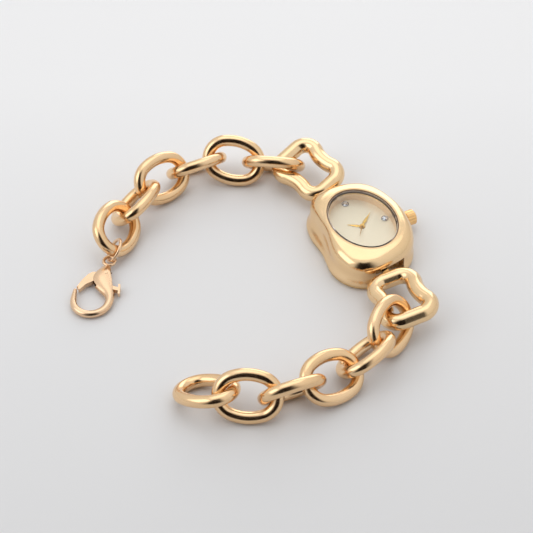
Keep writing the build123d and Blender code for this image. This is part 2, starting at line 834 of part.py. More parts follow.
with BuildPart() as stator:
    yoke = coil_place - coil_radius - 2 * seat_clearance - core_width / 2
    tab = core_half_length - coil_half_length - 2 * seat_clearance
    with BuildSketch(Plane.XY.offset(train_levels[2])):
        with Locations((0, yoke)):
            Rectangle(2 * core_half_length, core_width)
        for sign in (-1, 1):
            with Locations((sign * (core_half_length - tab / 2), (yoke + coil_place) / 2)):
                Rectangle(tab, coil_place - yoke + core_width)
        with Locations(rotor_place):
            Circle(stator_radius)
        with Locations((rotor_place[0], (rotor_place[1] + yoke) / 2)):
            Rectangle(stator_radius, yoke - rotor_place[1])
        with Locations(rotor_place):
            Circle(stator_bore, mode=Mode.SUBTRACT)
    extrude(amount=stator_thickness)
    screw_holes(train_levels[2], train_levels[2] + stator_thickness, screw_radius + seat_clearance)
stator.part.label = "motor_stator"
export_step(stator.part, "parts/motor_stator.step")

# Cell, its clamp and the circuit that steps the motor
with BuildPart() as cell:
    round_post(cell_place, cell_radius, cell_bottom, cell_bottom + cell_height)
    chamfer(cell.edges(), screw_slot)
cell.part.label = "button_cell"
export_step(cell.part, "parts/button_cell.step")

with BuildPart() as clamp:
    with BuildSketch(Plane.XY.offset(clamp_bottom)):
        with Locations(((clamp_place[0] + cell_place[0] - cell_radius) / 2, clamp_place[1])):
            SlotOverall(clamp_place[0] - cell_place[0] + cell_radius + clamp_width, clamp_width)
    extrude(amount=clamp_thickness)
    screw_holes(clamp_bottom, cell_bottom, screw_radius + seat_clearance)
clamp.part.label = "cell_clamp"
export_step(clamp.part, "parts/cell_clamp.step")

with BuildPart() as board:
    with BuildSketch(Plane.XY.offset(board_bottom)):
        with Locations(board_place):
            RectangleRounded(board_width, board_length, pillar_radius)
    extrude(amount=board_thickness)
    screw_holes(board_bottom, plate_floor, screw_radius + seat_clearance)
board.part.label = "circuit_board"
export_step(board.part, "parts/circuit_board.step")

with BuildPart() as chip:
    with BuildSketch(Plane.XY.offset(board_bottom)):
        with Locations((board_place[0] - board_width / 4, board_place[1] + board_length / 8)):
            Rectangle(chip_width, chip_width)
    extrude(amount=-chip_thickness)
chip.part.label = "timing_chip"
export_step(chip.part, "parts/timing_chip.step")

with BuildPart() as quartz:
    can_end = (board_place[0] + board_width / 4, board_place[1] - quartz_length / 2, board_bottom - quartz_radius)
    with BuildSketch(Plane(origin=can_end, z_dir=(0, 1, 0))):
        Circle(quartz_radius)
    extrude(amount=quartz_length)
quartz.part.label = "quartz_can"
export_step(quartz.part, "parts/quartz_can.step")

with BuildPart() as screws:
    for place, seat in screw_places:
        round_post(place, screw_radius, seat, seat + screw_length)
        round_post(place, screw_head_radius, seat - screw_head, seat)
        with BuildSketch(Plane((*place, seat - screw_head))) as slot:
            Rectangle(2 * screw_head_radius, screw_slot)
        extrude(slot.sketch, amount=screw_slot, mode=Mode.SUBTRACT)
screws.part.label = "movement_screws"
export_step(screws.part, "parts/movement_screws.step")

# Holder: the plastic ring that fills the case round the movement
with BuildPart() as holder:
    holder_bottom = back_thickness + back_rim_height + seat_clearance
    with BuildSketch(Plane.XY.offset(holder_bottom)):
        Ellipse(cavity_half_width - seat_clearance, cavity_half_length - seat_clearance)
        RectangleRounded(
            2 * (movement_half_width + holder_clearance),
            2 * (movement_half_length + holder_clearance),
            movement_corner + holder_clearance,
            mode=Mode.SUBTRACT,
        )
    extrude(amount=dial_bottom - holder_bottom)
    with BuildSketch(Plane(origin=(0, 0, stem_height), z_dir=(1, 0, 0))):
        Circle(stem_radius + tube_bore / 2)
    extrude(amount=case_half_width, mode=Mode.SUBTRACT)
holder.part.label = "movement_holder"
export_step(holder.part, "parts/movement_holder.step")


# Crown: a fluted knob on a stem that runs through a tube in the case wall


def stem_rod(start, length, radius, mode=Mode.ADD):
    """A round rod along the stem's line."""
    with BuildSketch(Plane(origin=(start, 0, stem_height), z_dir=(1, 0, 0))) as section:
        Circle(radius)
    extrude(section.sketch, amount=length, mode=mode)


crown_start = case_half_width + crown_gap
crown_end = crown_start + crown_length
stem_length = crown_end - crown_skirt - crown_skirt - stem_start

with BuildPart() as stem:
    stem_rod(stem_start, stem_length, stem_radius)
    with BuildSketch(Plane(origin=(groove_place - groove_width / 2, 0, stem_height), z_dir=(1, 0, 0))):
        Circle(stem_radius)
        Circle(stem_pilot, mode=Mode.SUBTRACT)
    extrude(amount=groove_width, mode=Mode.SUBTRACT)
stem.part.label = "stem"
export_step(stem.part, "parts/stem.step")

with BuildPart() as tube:
    stem_rod(cavity_half_width, crown_start + crown_skirt / 2 - cavity_half_width, tube_radius)
    stem_rod(cavity_half_width, crown_start - cavity_half_width + crown_skirt, tube_bore, Mode.SUBTRACT)
tube.part.label = "crown_tube"
export_step(tube.part, "parts/crown_tube.step")

with BuildPart() as crown:
    with BuildSketch(Plane(origin=(crown_start, 0, stem_height), z_dir=(1, 0, 0))):
        Circle(crown_radius)
        with PolarLocations(crown_radius + crown_skirt / 4, crown_flutes):
            Circle(crown_skirt / 2, mode=Mode.SUBTRACT)
    extrude(amount=crown_length)
    with BuildSketch(Plane.XZ.offset(0)) as dome:
        with BuildLine():
            Polyline(
                (crown_start, stem_height),
                (crown_start, stem_height + crown_radius - crown_skirt / 2),
                (crown_start + crown_skirt / 2, stem_height + crown_radius),
                (crown_end - crown_skirt, stem_height + crown_radius),
                (crown_end - crown_skirt / 4, stem_height + crown_radius - crown_skirt),
                (crown_end, stem_height + crown_radius / 2),
                (crown_end, stem_height),
                close=True,
            )
        make_face()
    revolve(dome.sketch, axis=Axis((0, 0, stem_height), (1, 0, 0)), mode=Mode.INTERSECT)
    stem_rod(crown_start, crown_skirt, tube_radius + pipe_wall, Mode.SUBTRACT)
    stem_rod(crown_start, stem_start + stem_length - crown_start, stem_radius, Mode.SUBTRACT)
crown.part.label = "crown"
export_step(crown.part, "parts/crown.step")

with BuildPart() as setting_lever:
    lever_top = stem_height - stem_radius - stem_clearance
    with BuildSketch(Plane.XY.offset(lever_top)):
        with Locations((groove_place, 0)):
            RectangleRounded(lever_length, lever_width, stem_pilot)
    extrude(amount=-lever_thickness)
    with BuildSketch(Plane.XY.offset(lever_top)):
        with Locations((groove_place, 0)):
            Rectangle(groove_width - 2 * stem_clearance, lever_width / 3)
    extrude(amount=stem_radius - stem_pilot)
setting_lever.part.label = "setting_lever"
export_step(setting_lever.part, "parts/setting_lever.step")

# Spring bars: telescopic pins that hold the end links in the case
for name, side in (("upper_spring_bar", 1), ("lower_spring_bar", -1)):
    with BuildPart() as spring_bar:
        tip = recess_half_width + pin_pivot_length - 2 * seat_clearance
        shoulder = recess_half_width - 2 * seat_clearance
        for reach, radius in ((shoulder, pin_radius), (tip, pin_pivot)):
            with BuildSketch(Plane(origin=(-reach, side * hinge_offset, hinge_height), z_dir=(1, 0, 0))):
                Circle(radius)
            extrude(amount=2 * reach)
    spring_bar.part.label = name
    export_step(spring_bar.part, f"parts/{name}.step")


# Jump ring: a loop of round wire between the last link and the clasp
last_link = upper_links[-1]
ring_place = last_link.from_local_coords(tuple(share * link_length for share in ring_place_shares))
ring_normal = last_link.from_local_coords(ring_facing) - last_link.origin
ring_plane = Plane(origin=ring_place, z_dir=ring_normal)

with BuildPart() as jump_ring:
    wire_arc(ring_plane, (0, 0), ring_radius, 0, 360, ring_wire)
jump_ring.part.label = "jump_ring"
export_step(jump_ring.part, "parts/jump_ring.step")


# Clasp: a lobster claw. Its outlines are shares of its length, its X from the eye to the hook.
clasp_spine_shares = [
    (0.077, 0.003, 3, 0.04, 0.0224),
    (0.16, 0.006, 7, 0.072, 0.0507),
    (0.251, 0.024, 20, 0.1147, 0.0683),
    (0.336, 0.072, 35, 0.1253, 0.0693),
    (0.421, 0.134, 37, 0.092, 0.0613),
    (0.512, 0.19, 26, 0.0587, 0.0533),
    (0.608, 0.222, 12, 0.0505, 0.048),
    (0.715, 0.229, -7, 0.0495, 0.0469),
    (0.817, 0.199, -29, 0.0495, 0.0469),
    (0.893, 0.131, -53, 0.0495, 0.0469),
    (0.935, 0.04, -80, 0.0495, 0.0469),
    (0.93, -0.062, -108, 0.0485, 0.0469),
    (0.871, -0.157, -137, 0.0453, 0.0459),
    (0.779, -0.213, -160, 0.04, 0.0427),
    (0.688, -0.231, -168, 0.034, 0.0384),
    (0.611, -0.247, -168, 0.027, 0.032),
    (0.555, -0.259, -168, 0.02, 0.0256),
]
clasp_pocket_shares = [
    (0.176, -0.267), (0.176, 0.203), (0.245, 0.4), (0.533, 0.4), (0.533, 0.267),
    (0.4, 0.11), (0.47, -0.02), (0.545, -0.165), (0.545, -0.299),
]
lever_gate_shares = [
    (0.224, -0.03), (0.254, -0.135), (0.306, -0.176), (0.408, -0.216), (0.54, -0.243),
    (0.54, -0.222), (0.575, -0.212), (0.575, -0.193), (0.473, -0.15), (0.399, -0.078),
    (0.309, 0.016), (0.31, 0.08), (0.24, 0.043), (0.195, 0.015),
]
lever_arm_shares = [
    (0.22, 0.09), (0.4, 0.235), (0.402, 0.268), (0.372, 0.272), (0.378, 0.296),
    (0.486, 0.328), (0.492, 0.302), (0.468, 0.288), (0.474, 0.225), (0.3, 0.03),
]
clasp_pivot_shares = (0.24, 0.043)
lever_boss_share, lever_pin_share = 0.053, 0.024
lever_boss, lever_pin = lever_boss_share * clasp_length, lever_pin_share * clasp_length
clasp_place = ring_place + Vector(*clasp_place_shares) * ring_radius
clasp_plane = laid_plane(clasp_place, *clasp_pose)
pivot_place = tuple(share * clasp_length for share in clasp_pivot_shares)


def clasp_outline(shares, half_thickness, mode=Mode.ADD):
    """A flat-sided shape from an outline in shares, as far above the clasp's middle as below."""
    with BuildSketch(clasp_plane) as section:
        Polygon(*[(x * clasp_length, y * clasp_length) for x, y in shares], align=None)
    extrude(section.sketch, amount=half_thickness, both=True, mode=mode)


def clasp_disc(place, radius, half_thickness, mode=Mode.ADD):
    """A round boss or hole through the clasp's middle."""
    with BuildSketch(clasp_plane) as section:
        with Locations(place):
            Circle(radius)
    extrude(section.sketch, amount=half_thickness, both=True, mode=mode)


with BuildPart() as clasp_body:
    sections = []
    for x, y, heading, half_width, half_thickness in clasp_spine_shares:
        middle = clasp_plane.from_local_coords((x * clasp_length, y * clasp_length, 0))
        a = radians(heading)
        ahead = clasp_plane.x_dir * cos(a) + clasp_plane.y_dir * sin(a)
        with BuildSketch(Plane(origin=middle, x_dir=clasp_plane.z_dir.cross(ahead), z_dir=ahead)) as section:
            Ellipse(half_width * clasp_length, half_thickness * clasp_length)
        sections.append(section.sketch)
    loft(sections)
    clasp_disc((0, 0), clasp_eye_radius, clasp_eye_thickness / 2)
    clasp_disc((0, 0), clasp_eye_hole, clasp_eye_thickness, Mode.SUBTRACT)
    clasp_outline(clasp_pocket_shares, lever_pocket / 2, Mode.SUBTRACT)
    clasp_disc(pivot_place, lever_pin, lever_pocket, Mode.SUBTRACT)
clasp_body.part.label = "clasp_body"
export_step(clasp_body.part, "parts/clasp_body.step")

with BuildPart() as clasp_lever:
    for shares in (lever_gate_shares, lever_arm_shares):
        clasp_outline(shares, lever_pocket / 2 - lever_play)
    clasp_disc(pivot_place, lever_boss, lever_pocket / 2 - lever_play)
    clasp_disc(pivot_place, lever_pin + pivot_clearance, lever_pocket, Mode.SUBTRACT)
clasp_lever.part.label = "clasp_lever"
export_step(clasp_lever.part, "parts/clasp_lever.step")

with BuildPart() as clasp_pin:
    clasp_disc(pivot_place, lever_pin, lever_pocket / 2 + lever_boss / 2)
clasp_pin.part.label = "clasp_pin"
export_step(clasp_pin.part, "parts/clasp_pin.step")

with BuildPart() as clasp_spring:
    wall = clasp_pocket_shares[0][0] * clasp_length + seat_clearance
    with BuildSketch(clasp_plane):
        with Locations((wall + lever_spring / 2, pivot_place[1])):
            Rectangle(lever_spring, 2 * lever_boss)
    extrude(amount=lever_pin, both=True)
clasp_spring.part.label = "clasp_spring"
export_step(clasp_spring.part, "parts/clasp_spring.step")
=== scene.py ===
import json
import math

import bmesh
import bpy
from mathutils import Matrix, Vector

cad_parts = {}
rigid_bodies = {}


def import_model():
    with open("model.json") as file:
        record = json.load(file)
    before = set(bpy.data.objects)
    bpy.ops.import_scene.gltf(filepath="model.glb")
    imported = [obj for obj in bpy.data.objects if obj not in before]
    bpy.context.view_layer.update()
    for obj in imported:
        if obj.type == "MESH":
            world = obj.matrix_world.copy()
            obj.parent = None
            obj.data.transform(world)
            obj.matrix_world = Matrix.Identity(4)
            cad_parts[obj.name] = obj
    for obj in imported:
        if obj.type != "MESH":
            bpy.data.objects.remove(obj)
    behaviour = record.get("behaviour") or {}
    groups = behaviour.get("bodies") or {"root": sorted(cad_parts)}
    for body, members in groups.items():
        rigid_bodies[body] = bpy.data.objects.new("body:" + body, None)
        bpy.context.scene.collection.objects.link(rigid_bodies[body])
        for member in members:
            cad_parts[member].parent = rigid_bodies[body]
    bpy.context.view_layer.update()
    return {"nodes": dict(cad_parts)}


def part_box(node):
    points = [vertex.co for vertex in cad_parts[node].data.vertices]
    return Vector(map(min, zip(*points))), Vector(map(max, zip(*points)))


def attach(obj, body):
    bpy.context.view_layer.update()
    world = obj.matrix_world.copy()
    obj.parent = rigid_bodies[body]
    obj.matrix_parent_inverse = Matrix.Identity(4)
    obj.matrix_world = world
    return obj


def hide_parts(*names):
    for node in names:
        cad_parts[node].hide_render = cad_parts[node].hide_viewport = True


for leftover in list(bpy.data.objects):
    bpy.data.objects.remove(leftover)
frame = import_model()
cad = frame["nodes"]

# The case is one brass casting, ground and buffed to a mirror and then plated with pale gold.
# It swells from a waisted foot to a rounded bezel, and the end links hang in its two recesses.

# A Mix node has a set of sockets for each type of data, and these are its colours' places.
tint_from, tint_to, tinted = 6, 7, 2


def linear(colour):
    """A shader's colour from an sRGB hex value."""
    parts = [int(colour[i : i + 2], 16) / 255 for i in (1, 3, 5)]
    return [p / 12.92 if p <= 0.04045 else ((p + 0.055) / 1.055) ** 2.4 for p in parts] + [1]


def add(tree, kind, inputs=None, **settings):
    """A node of a tree with its settings, and its inputs as values or other nodes' sockets."""
    made = tree.nodes.new(kind)
    for name, value in settings.items():
        setattr(made, name, value)
    for key, value in (inputs or {}).items():
        if isinstance(value, bpy.types.NodeSocket):
            tree.links.new(value, made.inputs[key])
        else:
            made.inputs[key].default_value = value
    return made


def finish_of(name):
    """A new material, its empty tree, and the object's own coordinates in it."""
    made = bpy.data.materials.new(name)
    made.use_nodes = True
    made.node_tree.nodes.clear()
    return made, made.node_tree, add(made.node_tree, "ShaderNodeTexCoord").outputs["Object"]


def plated(name, pale, deep, worn, wave=4.5, dents=3e-6):
    """Gold plate over buffed brass: a mirror whose tone drifts, with haze and slow waves.

    worn is its roughness where it is brightest, wave the waves' width in millimetres and
    dents their depth in metres.
    """
    made, tree, place = finish_of(name)
    # The drift's and the haze's sizes in millimetres, and the roughness that the haze adds
    patch, scuff, dulling = 9, 2.1, 0.07
    drift = {"Vector": place, "Scale": 1000 / patch, "Detail": 3}
    buffing = {"Vector": place, "Scale": 1000 / scuff, "Detail": 6}
    swell = {"Vector": place, "Scale": 1000 / wave, "Detail": 1}
    tint = {
        "Factor": add(tree, "ShaderNodeTexNoise", drift).outputs["Fac"],
        tint_from: linear(pale),
        tint_to: linear(deep),
    }
    dull = {
        "Value": add(tree, "ShaderNodeTexNoise", buffing).outputs["Fac"],
        "From Min": 0.3,
        "From Max": 0.75,
        "To Min": worn,
        "To Max": worn + dulling,
    }
    relief = {
        "Height": add(tree, "ShaderNodeTexNoise", swell).outputs["Fac"],
        "Distance": dents,
        "Strength": 0.6,
    }
    look = {
        "Base Color": add(tree, "ShaderNodeMix", tint, data_type="RGBA").outputs[tinted],
        "Metallic": 1.0,
        "Roughness": add(tree, "ShaderNodeMapRange", dull).outputs["Result"],
        "Normal": add(tree, "ShaderNodeBump", relief).outputs["Normal"],
    }
    shader = add(tree, "ShaderNodeBsdfPrincipled", look)
    add(tree, "ShaderNodeOutputMaterial", {"Surface": shader.outputs[0]})
    return made


def dress(material, *names):
    """Gives CAD nodes this material."""
    for name in names:
        cad[name].data.materials.clear()
        cad[name].data.materials.append(material)


case_gold = plated("pale_gold_plate_buffed", "#F6D8AE", "#EFCA98", 0.14)
dress(case_gold, "case")

# The case back is a pressed cover of the same plated brass that snaps in from below. Its face
# carries the fine straight grain of a belt sander, because it is never polished to a mirror.
made, tree, place = finish_of("gold_plate_belt_grain")
# A scratch's length in millimetres, and that over its width, which is 0.13 mm so that it shows
scratch_length, slenderness = 4, 30
stretch = {"Vector": place, "Scale": (1, slenderness, 1)}
along = add(tree, "ShaderNodeMapping", stretch).outputs[0]
scratches = {"Vector": along, "Scale": 1000 / scratch_length, "Detail": 5}
grain = add(tree, "ShaderNodeTexNoise", scratches).outputs["Fac"]
tint = {"Factor": grain, tint_from: linear("#EBCB98"), tint_to: linear("#DDB983")}
dull = {"Value": grain, "From Min": 0.3, "From Max": 0.7, "To Min": 0.16, "To Max": 0.34}
relief = {"Height": grain, "Distance": 4e-6, "Strength": 0.6}
look = {
    "Base Color": add(tree, "ShaderNodeMix", tint, data_type="RGBA").outputs[tinted],
    "Metallic": 1.0,
    "Roughness": add(tree, "ShaderNodeMapRange", dull).outputs["Result"],
    "Normal": add(tree, "ShaderNodeBump", relief).outputs["Normal"],
}
shader = add(tree, "ShaderNodeBsdfPrincipled", look)
add(tree, "ShaderNodeOutputMaterial", {"Surface": shader.outputs[0]})
dress(made, "case_back")

# The seals are soft rings that are pressed in. The one under the back is black nitrile rubber,
# matt and faintly dusty. The one round the glass is smoke-brown plastic with a low sheen.


def mottled(name, first, second, grain, metallic, smooth, rough):
    """A surface whose tone and dullness vary together, at one grain size in millimetres.

    Real grain is finer, and this is as coarse as it needs to show. smooth and rough are the
    ends of its roughness.
    """
    made, tree, place = finish_of(name)
    speckle = {"Vector": place, "Scale": 1000 / grain, "Detail": 4}
    spots = add(tree, "ShaderNodeTexNoise", speckle).outputs["Fac"]
    tint = {"Factor": spots, tint_from: linear(first), tint_to: linear(second)}
    dull = {"Value": spots, "From Min": 0.3, "From Max": 0.7, "To Min": smooth, "To Max": rough}
    look = {
        "Base Color": add(tree, "ShaderNodeMix", tint, data_type="RGBA").outputs[tinted],
        "Metallic": metallic,
        "Roughness": add(tree, "ShaderNodeMapRange", dull).outputs["Result"],
    }
    shader = add(tree, "ShaderNodeBsdfPrincipled", look)
    add(tree, "ShaderNodeOutputMaterial", {"Surface": shader.outputs[0]})
    return made


rubber = mottled("nitrile_rubber_moulded", "#2A2826", "#3A3734", 0.4, 0, 0.45, 0.65)
dress(rubber, "back_seal")
smoked = mottled("smoked_acetal_turned", "#86644A", "#6F5039", 0.6, 0, 0.25, 0.4)
dress(smoked, "glass_seal")

# The glass is a flat mineral crystal with a ground and polished edge, pressed into its ring.
# It is clear with a trace of green, smeared a little, and lets the lamps through to the dial.
made, tree, place = finish_of("mineral_glass_polished")
smear_width = 6  # millimetres
smears = {"Vector": place, "Scale": 1000 / smear_width, "Detail": 2}
smear = add(tree, "ShaderNodeTexNoise", smears).outputs["Fac"]
dull = {"Value": smear, "From Min": 0.4, "From Max": 0.8, "To Min": 0.0, "To Max": 0.03}
look = {
    "Base Color": linear("#FDFFFE"),
    "Roughness": add(tree, "ShaderNodeMapRange", dull).outputs["Result"],
    "IOR": 1.5,
    "Transmission Weight": 1.0,
}
shader = add(tree, "ShaderNodeBsdfPrincipled", look)
through = add(tree, "ShaderNodeBsdfTransparent", {"Color": linear("#FEFFFF")})
in_shadow = add(tree, "ShaderNodeLightPath").outputs["Is Shadow Ray"]
choice = {0: in_shadow, 1: shader.outputs[0], 2: through.outputs[0]}
either = add(tree, "ShaderNodeMixShader", choice)
add(tree, "ShaderNodeOutputMaterial", {"Surface": either.outputs[0]})
dress(made, "glass")

# The dial ring is a turned brass slope that stands between the glass and the dial. It is sprayed
# in satin gold paint, which glows softly and mirrors nothing.
satin = mottled("satin_gold_paint_sprayed", "#FCDDB8", "#F1CCA2", 0.3, 0.45, 0.28, 0.38)
dress(satin, "dial_ring")

# The dial is a stamped brass blank, brushed outwards from its middle and lacquered in cream.
# The rays are fine ridges in its bump, and their sheen is painted into its colour as narrow
# fans of lighter and darker cream that turn with the angle round it.
made, tree, place = finish_of("cream_lacquer_sunray_painted_sheen")
rays_in_a_radian = 42
parted = add(tree, "ShaderNodeSeparateXYZ", {0: place}).outputs
corner = {0: parted["Y"], 1: parted["X"]}
turn = add(tree, "ShaderNodeMath", corner, operation="ARCTAN2").outputs[0]
fan = add(tree, "ShaderNodeCombineXYZ", {"X": turn}).outputs[0]
brushing = {"Vector": fan, "Scale": rays_in_a_radian, "Detail": 8, "Roughness": 0.75}
rays = add(tree, "ShaderNodeTexNoise", brushing).outputs["Fac"]
painted_sheen_contrast = {"Value": rays, "From Min": 0.35, "From Max": 0.65}
spread = add(tree, "ShaderNodeMapRange", painted_sheen_contrast).outputs["Result"]
# Painted sheen: the rays' lighter and darker fans are put into the colour
tint = {"Factor": spread, tint_from: linear("#FDF1DC"), tint_to: linear("#F4E4C6")}
relief = {"Height": rays, "Distance": 8e-6, "Strength": 0.5}
look = {
    "Base Color": add(tree, "ShaderNodeMix", tint, data_type="RGBA").outputs[tinted],
    "Metallic": 0.35,
    "Roughness": 0.42,
    "Coat Weight": 0.15,
    "Coat Roughness": 0.08,
    "Normal": add(tree, "ShaderNodeBump", relief).outputs["Normal"],
}
shader = add(tree, "ShaderNodeBsdfPrincipled", look)
add(tree, "ShaderNodeOutputMaterial", {"Surface": shader.outputs[0]})
dress(made, "dial")

# The three hands are stamped from brass foil, folded along a centre ridge so that one half always
# shines, and plated yellow. Each sits on its own pipe with a round boss, a cap over the last.


def wall(shape, lower, upper):
    """The faces between two closed loops of as many points."""
    faces = []
    for first in range(len(lower)):
        after = (first + 1) % len(lower)
        corners = (lower[first], lower[after], upper[after], upper[first])
        faces.append(shape.faces.new(corners))
    return faces


def finished_mesh(label, shape):
    """A plain mesh of this bmesh, with its faces outwards. The bmesh is spent."""
    bmesh.ops.recalc_face_normals(shape, faces=shape.faces)
    mesh = bpy.data.meshes.new(label)
    shape.to_mesh(mesh)
    shape.free()
    return mesh


def put(label, data):
    """An object of this mesh, lamp or camera, in the scene."""
    made = bpy.data.objects.new(label, data)
    bpy.context.collection.objects.link(made)
    return made


hand_gold = plated("yellow_gold_plate_stamped", "#F7CE74", "#E6B453", 0.24, 2, 1e-6)
hand_foil = 0.00012
# Body, then length, width, tail and boss radius in metres, and degrees clockwise from twelve
hands = {
    "hour_hand": ("hour_train", 0.0037, 0.00075, 0.0009, 0.00071, 304.3),
    "minute_hand": ("minute_train", 0.0051, 0.00075, 0.0009, 0.00052, 51.6),
    "second_hand": ("seconds_train", 0.0042, 0.00025, 0.0014, 0.00036, 216),
}
for name, (body, length, width, tail, boss, angle) in hands.items():
    low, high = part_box(name)[0][2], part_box(name)[1][2]
    rim, ridge, widest = low + hand_foil * 0.4, high + hand_foil * 0.3, length / 3
    shape = bmesh.new()
    outline = [(length, 0), (widest, width / 2), (-tail, 0), (widest, -width / 2)]
    under = [shape.verts.new((x, y, low)) for x, y in outline]
    edge = [shape.verts.new((x, y, rim)) for x, y in outline]
    crest = shape.verts.new((widest, 0, ridge))
    shape.faces.new(reversed(under))
    wall(shape, under, edge)
    for first in range(len(edge)):
        shape.faces.new((edge[first], edge[(first + 1) % len(edge)], crest))
    bmesh.ops.create_cone(
        shape,
        cap_ends=True,
        segments=40,
        radius1=boss,
        radius2=boss * 0.92,
        depth=high - low,
        matrix=Matrix.Translation((0, 0, (low + high) / 2)),
    )
    shape.transform(Matrix.Rotation(math.radians(90 - angle), 4, "Z"))
    mesh = finished_mesh(f"{name}_folded", shape)
    mesh.materials.append(hand_gold)
    blade = put(f"{name}_folded", mesh)
    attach(blade, body)
    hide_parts(name)

# A cut glass stone stands on the dial at twelve and another at three. Each has a flat table and
# eight facets over a foiled back, and the facets take a painted highlight and a painted shade
# by turns, from a lit and a shaded copy of one foil. Four claws of bright rhodium-plated wire
# hold its girdle.


def pattern(label, kinds):
    """A Geometry Nodes tree, and its named inputs of these kinds."""
    made = bpy.data.node_groups.new(label, "GeometryNodeTree")
    for name, kind in kinds.items():
        made.interface.new_socket(
            name=name, in_out="INPUT", socket_type=f"NodeSocket{kind}"
        )
    made.interface.new_socket(
        name="Made", in_out="OUTPUT", socket_type="NodeSocketGeometry"
    )
    return made, add(made, "NodeGroupInput").outputs


def grown(tree, label, sizes):
    """A plain mesh from a Geometry Nodes tree, with its named inputs set."""
    seed = put(label, bpy.data.meshes.new(label))
    grower = seed.modifiers.new("made", "NODES")
    grower.node_group = tree
    for item in tree.interface.items_tree:
        if item.in_out == "INPUT":
            grower[item.identifier] = sizes[item.name]
    bpy.context.view_layer.update()
    view = bpy.context.evaluated_depsgraph_get()
    mesh = bpy.data.meshes.new_from_object(seed.evaluated_get(view), depsgraph=view)
    bpy.data.objects.remove(seed)
    mesh.name = label
    return mesh


# Painted highlight and painted shade: a lit and a shaded copy of the one silver foil
painted_lit_facet_foil = mottled("cut_glass_painted_lit_facet", "#F4F5FA", "#D9DCE6", 0.5, 0.85, 0.03, 0.08)
painted_shaded_facet_foil = mottled("cut_glass_painted_shaded_facet", "#8E8C99", "#6F6D7C", 0.5, 0.85, 0.03, 0.08)
claw_steel = mottled("rhodium_plate_on_claws", "#C9C7C4", "#A9A6A3", 0.4, 1.0, 0.12, 0.22)
stone_places = ((0, 0.0086), (0.0062, 0))
stone_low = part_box("dial_stones")[0][2]
facets, girdle_radius, table_share = 8, 0.00082, 0.55
girdle_rise, table_rise, claw_rise = 0.00014, 0.00038, 0.00016
claw_wire, hoop_share = 0.00013, 0.6
kinds = {"Radius": "Float", "Claws": "Int", "Wire": "Float", "Finish": "Material"}
claws, given = pattern("claw_ring", kinds)
round_girdle = {"Vertices": given["Claws"], "Radius": given["Radius"]}
spots = add(claws, "GeometryNodeMeshCircle", round_girdle).outputs[0]
tip = {"Radius": given["Wire"], "Subdivisions": 3}
bead = add(claws, "GeometryNodeMeshIcoSphere", tip).outputs[0]
each = {"Points": spots, "Instance": bead}
beads = add(claws, "GeometryNodeInstanceOnPoints", each).outputs[0]
bent = {"Resolution": 48, "Radius": given["Radius"]}
hoop = add(claws, "GeometryNodeCurvePrimitiveCircle", bent).outputs[0]
thinner = {0: given["Wire"], 1: hoop_share}
hoop_wire = add(claws, "ShaderNodeMath", thinner, operation="MULTIPLY").outputs[0]
section = {"Resolution": 12, "Radius": hoop_wire}
rod = add(claws, "GeometryNodeCurvePrimitiveCircle", section).outputs[0]
swept = {"Curve": hoop, "Profile Curve": rod}
collar = add(claws, "GeometryNodeCurveToMesh", swept).outputs[0]
both = add(claws, "GeometryNodeJoinGeometry")
for part in (beads, collar):
    claws.links.new(part, both.inputs[0])
solid = add(claws, "GeometryNodeRealizeInstances", {0: both.outputs[0]}).outputs[0]
painted = {0: solid, "Material": given["Finish"]}
finished = add(claws, "GeometryNodeSetMaterial", painted).outputs[0]
add(claws, "NodeGroupOutput", {0: finished})
sizes = {"Radius": girdle_radius, "Claws": 4, "Wire": claw_wire, "Finish": claw_steel}
ring = grown(claws, "claw_ring_mesh", sizes)
heights = ((0, 1), (girdle_rise, 1), (table_rise, table_share))
corners = [math.radians((count + 0.5) * 360 / facets) for count in range(facets)]
stones, settings = bmesh.new(), bmesh.new()
for x, y in stone_places:
    levels = []
    for rise, share in heights:
        radius = girdle_radius * share
        around = [(x + radius * math.cos(a), y + radius * math.sin(a)) for a in corners]
        levels.append([stones.verts.new((*spot, stone_low + rise)) for spot in around])
    stones.faces.new(reversed(levels[0]))
    stones.faces.new(levels[2])
    for lower, upper in zip(levels, levels[1:]):
        for count, facet in enumerate(wall(stones, lower, upper)):
            # Every other facet takes the painted shade instead of the painted highlight
            facet.material_index = count % 2
    before = len(settings.verts)
    settings.from_mesh(ring)
    settings.verts.ensure_lookup_table()
    for point in settings.verts[before:]:
        point.co += Vector((x, y, stone_low + claw_rise))
for name, shape, node, slot, finishes in (
    ("cut_stones", stones, "dial_stones", "stone", (painted_lit_facet_foil, painted_shaded_facet_foil)),
    ("claw_settings", settings, "stone_settings", "hand_gold", (claw_steel,)),
):
    mesh = finished_mesh(name, shape)
    for finish in finishes:
        mesh.materials.append(finish)
    piece = put(name, mesh)
    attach(piece, "case")
    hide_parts(node)

# The movement sits under the dial in a white plastic holder: a lapped brass plate and bridge, and
# wheels turned in brass and bright steel, with a copper coil, a cell and a green circuit board.
# None of it shows from outside. The turned steel is also on the pins, the stem and the spring.
brass = mottled("movement_brass_lapped", "#D9BE7C", "#C8AA66", 0.5, 1.0, 0.24, 0.4)
dress(brass, "main_plate", "train_bridge", "cell_clamp", "minute_wheel")
dress(brass, "centre_wheel", "third_wheel", "seconds_wheel", "hour_wheel")
steel = mottled("carbon_steel_turned", "#C9C9CC", "#B3B4B8", 0.3, 1.0, 0.2, 0.34)
dress(steel, "motor_core", "motor_stator", "rotor_pinion", "rotor_magnet", "step_wheel")
dress(steel, "button_cell", "quartz_can", "movement_screws", "stem", "crown_tube")
dress(steel, "setting_lever", "clasp_spring", "upper_spring_bar", "lower_spring_bar")
copper = mottled("enamelled_copper_wire_wound", "#B5652F", "#7E3F1B", 0.7, 0.8, 0.25, 0.45)
dress(copper, "motor_coil")
board = mottled("glass_epoxy_board_masked", "#1F5A34", "#256640", 0.4, 0, 0.3, 0.4)
dress(board, "circuit_board")
